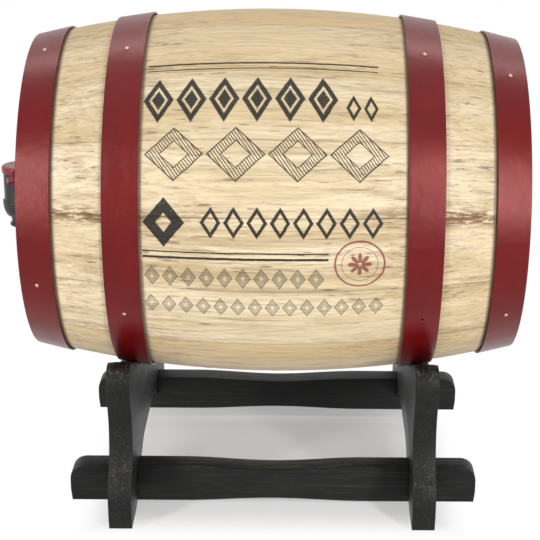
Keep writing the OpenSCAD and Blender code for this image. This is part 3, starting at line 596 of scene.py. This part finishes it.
class StageSettings(bpy.types.PropertyGroup):
    camera: bpy.props.FloatVectorProperty(name="Camera", description="Place of the camera", subtype="TRANSLATION",
                                          unit="LENGTH", default=(0.0393, -1.2364, 0.6225))
    turn: bpy.props.FloatVectorProperty(name="Turn", description="Pitch, roll and yaw of the camera", subtype="EULER",
                                        unit="ROTATION", default=(-0.3481, -0.0146, -0.0168))
    lens: bpy.props.FloatProperty(name="Lens", description="Focal length as a share of the picture's width",
                                  default=2.7754, min=0.5, max=6.0)
    level: bpy.props.FloatProperty(name="Light level", description="Strength of the softboxes", default=0.93,
                                   min=0.1, max=3.0, subtype="FACTOR")
    ambient: bpy.props.FloatProperty(name="Ambient light", description="Strength of the light from all round",
                                     default=0.14, min=0.0, max=1.0, subtype="FACTOR")
    shift_x: bpy.props.FloatProperty(name="Shift", description="Sideways shift of the lens", default=-0.1019)


# ---- pieces ----

class CASK_OT_staves(bpy.types.Operator):
    """Finish each stave in its own wood"""
    bl_idname = "cask.staves"
    bl_label = "Staves"

    def execute(self, context):
        for index in range(1, STAVES + 1):
            paint_nodes(stave_wood(index, context.scene.cask_wood), f"stave_{index:02d}")
        return {"FINISHED"}


class CASK_OT_heads(bpy.types.Operator):
    """Finish the head boards, dowels and battens"""
    bl_idname = "cask.heads"
    bl_label = "Heads"

    def execute(self, context):
        woods = context.scene.cask_wood
        seed = 30
        for head in ("front", "rear"):
            for board in ("centre", "near", "far"):
                node = f"{head}_head_{board}_board"
                paint_nodes(plain_board(node + "_wood", woods, "Z", seed), node)
                seed += 3
        paint_nodes(plain_board("dowel_wood", woods, "Y", 60), "front_head_dowels", "rear_head_dowels")
        paint_nodes(plain_board("batten_wood", woods, "Y", 63), "upper_batten", "lower_batten")
        return {"FINISHED"}


class CASK_OT_hoops(bpy.types.Operator):
    """Paint the hoops and rivets, and finish the nails and screws"""
    bl_idname = "cask.hoops"
    bl_label = "Hoops and fasteners"

    def execute(self, context):
        paint = hoop_paint(context.scene.cask_hoops)
        paint_nodes(paint, "front_head_hoop", "front_quarter_hoop", "rear_quarter_hoop", "rear_head_hoop",
                    "hoop_rivets")
        paint_nodes(worn_metal("nail_brass", srgb(204, 178, 140), srgb(84, 60, 46), 0.36), "hoop_nails")
        paint_nodes(worn_metal("screw_steel", srgb(186, 186, 188), srgb(120, 120, 124), 0.4),
                    "batten_screws", "cradle_screws")
        return {"FINISHED"}


class CASK_OT_tap(bpy.types.Operator):
    """Finish the tap, its valve and the bag's spout"""
    bl_idname = "cask.tap"
    bl_label = "Tap"

    def execute(self, context):
        paint_nodes(moulded_plastic("tap_black", srgb(22, 26, 25), srgb(16, 18, 18), 0.34), "tap_body")
        paint_nodes(moulded_plastic("tap_red", srgb(140, 26, 46), srgb(122, 22, 40), 0.24),
                    "finger_wing", "push_button")
        paint_nodes(moulded_plastic("valve_white", srgb(226, 226, 222), srgb(214, 214, 210), 0.42),
                    "valve_stem", "bag_spout")
        paint_nodes(moulded_plastic("lock_ring_grey", srgb(58, 58, 60), srgb(48, 48, 50), 0.4), "lock_ring")
        paint_nodes(seal_rubber(), "valve_seal", "stem_gland", "tap_o_ring")

        # the spring: a smooth-shaded copy of its node on the same body; the share of its length left at full travel
        # is worked out but not used
        spring = copy_of_node("return_spring", "return_spring_coil", flat=0.1)
        bpy.ops.object.shade_smooth_by_angle(angle=math.radians(50))
        dress(spring, worn_metal("spring_steel", srgb(200, 200, 202), srgb(160, 160, 164), 0.22))
        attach(spring, body_of("return_spring"))
        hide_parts("return_spring")
        low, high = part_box("return_spring")
        length, travel = high[2] - low[2], travel_of("button_press")
        (length - travel) / length
        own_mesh(spring)
        return {"FINISHED"}


class CASK_OT_bag(bpy.types.Operator):
    """Model the full liner bag in place of its plain solid"""
    bl_idname = "cask.bag"
    bl_label = "Liner bag"

    def execute(self, context):
        bag = copy_of_node("liner_bag", "liner_bag_film")
        apply_modifier(bag, "REMESH", mode="VOXEL", voxel_size=0.005)
        apply_modifier(bag, "SMOOTH", factor=0.8, iterations=14)
        crease = context.scene.cask_bag.crease
        folds = bpy.data.textures.new("bag_folds", "CLOUDS")
        folds.noise_scale, folds.noise_depth = 0.05, 2
        apply_modifier(bag, "DISPLACE", texture=folds, texture_coords="LOCAL", strength=crease, mid_level=1.0)
        puckers = bpy.data.textures.new("bag_puckers", "CLOUDS")
        puckers.noise_scale, puckers.noise_depth = 0.014, 1
        apply_modifier(bag, "DISPLACE", texture=puckers, texture_coords="LOCAL", strength=crease * 0.4, mid_level=1.0)
        make_active(bag)
        bpy.ops.object.shade_smooth()
        dress(bag, bag_film())
        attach(bag, body_of("liner_bag"))
        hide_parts("liner_bag")
        return {"FINISHED"}


class CASK_OT_cradle(bpy.types.Operator):
    """Round the edges of the cradle's boards and rails, and stain them"""
    bl_idname = "cask.cradle"
    bl_label = "Cradle"

    def execute(self, context):
        stain = context.scene.cask_cradle
        boards = {"front_cross_board": "Y", "rear_cross_board": "Y", "near_rail": "X", "far_rail": "X"}
        for seed, (node, axis) in enumerate(boards.items(), start=80):
            board = copy_of_node(node, node + "_rounded")
            apply_modifier(board, "BEVEL", width=stain.edge, segments=3, limit_method="ANGLE",
                           angle_limit=math.radians(38), use_clamp_overlap=True)
            make_active(board)
            bpy.ops.object.shade_smooth_by_angle(angle=math.radians(38))
            dress(board, stained_wood(node + "_stain", stain, axis, seed))
            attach(board, body_of(node))
            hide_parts(node)
        return {"FINISHED"}


# ---- stage ----

def area_light(name, place, target, size, power):
    """A softbox that faces a point."""
    data = bpy.data.lights.new(name, "AREA")
    data.shape = "RECTANGLE"
    data.size, data.size_y = size
    data.energy = power
    lamp = bpy.data.objects.new(name, data)
    bpy.context.scene.collection.objects.link(lamp)
    lamp.location = place
    lamp.visible_camera = False
    lamp.rotation_euler = (Vector(target) - Vector(place)).to_track_quat("-Z", "Y").to_euler()


def pale_floor():
    """White to gloss and glass. The camera sees the lit floor near the cask, and plain white further off."""
    finish = Finish("pale_floor")
    finish.finish((0.88, 0.88, 0.88, 1), 0.6)
    glow = finish.node("ShaderNodeEmission")
    path = finish.node("ShaderNodeLightPath")
    seen, gloss, glass = (Value(finish, path.outputs[name])
                          for name in ("Is Camera Ray", "Is Glossy Ray", "Is Transmission Ray"))
    away = abs(finish.x - CRADLE_X).most(abs(finish.y)).ramp(0.115, 0.165, 0.36, 1.0)
    white = (seen * away).most(gloss).most(glass)
    mix = finish.node("ShaderNodeMixShader", inputs={0: white, 1: finish.surface.outputs[0], 2: glow.outputs[0]})
    output = next(node for node in finish.tree.nodes if node.type == "OUTPUT_MATERIAL")
    finish.tree.links.new(mix.outputs[0], output.inputs[0])
    return finish.material


class CASK_OT_stage(bpy.types.Operator):
    """Set the floor, the lights and the camera"""
    bl_idname = "cask.stage"
    bl_label = "Stage"

    def execute(self, context):
        scene = context.scene
        settings = scene.cask_stage
        deselect()
        bpy.ops.mesh.primitive_plane_add(size=40, location=(0, 0, -0.0005))
        floor = context.object
        floor.name = "floor"
        dress(floor, pale_floor())

        world = bpy.data.worlds.new("studio")
        scene.world = world
        world.use_nodes = True
        tree = world.node_tree
        background = tree.nodes["Background"]
        background.inputs[0].default_value = (1, 1, 1, 1)
        path = tree.nodes.new("ShaderNodeLightPath")
        white = path.outputs["Is Camera Ray"]
        for ray in ("Is Glossy Ray", "Is Transmission Ray"):
            either = tree.nodes.new("ShaderNodeMath")
            either.operation = "MAXIMUM"
            tree.links.new(white, either.inputs[0])
            tree.links.new(path.outputs[ray], either.inputs[1])
            white = either.outputs[0]
        strength = tree.nodes.new("ShaderNodeMapRange")
        strength.inputs[3].default_value = settings.ambient
        strength.inputs[4].default_value = 1.0
        tree.links.new(white, strength.inputs[0])
        tree.links.new(strength.outputs[0], background.inputs[1])

        aim = (CASK_X, 0, 0.25)
        share = settings.level
        area_light("overhead_softbox", (0.0, -0.45, 1.75), aim, (1.8, 1.0), 4 * share)
        area_light("back_softbox", (0.0, 0.66, 1.45), aim, (2.0, 0.16), 8 * share)
        area_light("left_softbox", (-1.37, -1.36, 0.76), (-0.19, 0, 0.25), (0.16, 1.4), 24 * share)
        area_light("right_softbox", (1.10, -1.56, 0.76), (0.20, 0, 0.25), (0.20, 1.4), 28 * share)

        camera_data = bpy.data.cameras.new("camera")
        camera = bpy.data.objects.new("camera", camera_data)
        scene.collection.objects.link(camera)
        camera_data.sensor_width = 36.0
        camera_data.lens = settings.lens * camera_data.sensor_width
        camera_data.shift_x = settings.shift_x
        camera_data.clip_start, camera_data.clip_end = 0.05, 60
        pitch, roll, yaw = settings.turn
        turned = (Matrix.Rotation(yaw, 4, "Z") @ Matrix.Rotation(pitch, 4, "X") @ Matrix.Rotation(roll, 4, "Y")
                  @ Matrix.Rotation(math.pi / 2, 4, "X"))
        camera.matrix_world = Matrix.Translation(settings.camera) @ turned
        scene.camera = camera
        scene.view_settings.view_transform = "Standard"
        return {"FINISHED"}


class CASK_PT_panel(bpy.types.Panel):
    """Lists the cask's pieces and settings"""
    bl_label = "Cask"
    bl_idname = "CASK_PT_panel"
    bl_space_type = "VIEW_3D"
    bl_region_type = "UI"
    bl_category = "Cask"

    def draw(self, context):
        for name, group in SETTINGS.items():
            box = self.layout.box()
            for setting in group.__annotations__:
                box.prop(getattr(context.scene, name), setting)
        for operator in OPERATORS:
            self.layout.operator(operator.bl_idname)


SETTINGS = {"cask_wood": WoodSettings, "cask_hoops": HoopSettings, "cask_cradle": CradleSettings,
            "cask_bag": BagSettings, "cask_stage": StageSettings}
OPERATORS = (CASK_OT_staves, CASK_OT_heads, CASK_OT_hoops, CASK_OT_tap, CASK_OT_bag, CASK_OT_cradle, CASK_OT_stage)


def register():
    for group in SETTINGS.values():
        bpy.utils.register_class(group)
    for operator in OPERATORS:
        bpy.utils.register_class(operator)
    bpy.utils.register_class(CASK_PT_panel)
    for name, group in SETTINGS.items():
        setattr(bpy.types.Scene, name, bpy.props.PointerProperty(type=group))


def unregister():
    for name in SETTINGS:
        delattr(bpy.types.Scene, name)
    bpy.utils.unregister_class(CASK_PT_panel)
    for operator in reversed(OPERATORS):
        bpy.utils.unregister_class(operator)
    for group in SETTINGS.values():
        bpy.utils.unregister_class(group)


def main():
    register()
    bpy.ops.cask.staves()
    bpy.ops.cask.heads()
    bpy.ops.cask.hoops()
    bpy.ops.cask.tap()
    bpy.ops.cask.bag()
    bpy.ops.cask.cradle()
    bpy.ops.cask.stage()


if __name__ == "__main__":
    main()
